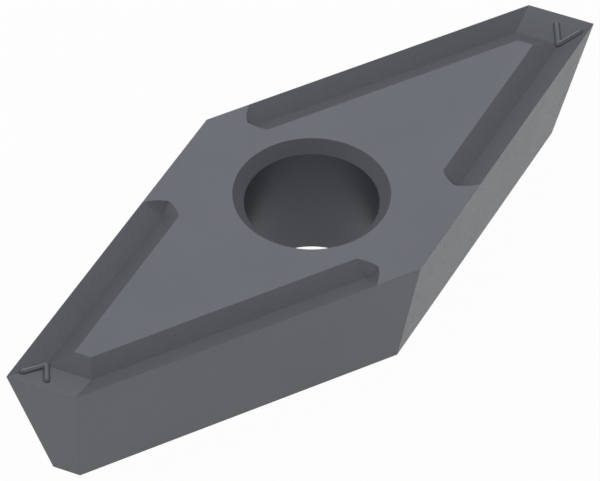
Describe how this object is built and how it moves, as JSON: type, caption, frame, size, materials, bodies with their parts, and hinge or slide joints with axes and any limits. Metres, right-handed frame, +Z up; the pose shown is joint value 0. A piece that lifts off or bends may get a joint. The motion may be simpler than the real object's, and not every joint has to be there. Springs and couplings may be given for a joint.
{
  "type": "carbide insert",
  "caption": "Slim rhombic cutting insert with relieved flanks, slanted tips, a chip groove along the edges of each tip and a countersunk screw hole.",
  "frame": {"origin": "axis of the screw hole at the seat face, which is the middle of the bounding box's bottom", "axes": "+X along the long diagonal to a tip, +Z up the screw hole from the seat to the cutting edges; the drawn tip's leading edge is on the -Y side"},
  "size_m": [0.0254, 0.01, 0.0048],
  "materials": {
    "carbide": "satin dark grey, as sintered and ground"
  },
  "bodies": {
    "root": {"carbide_insert": "carbide"}
  },
  "joints": []
}
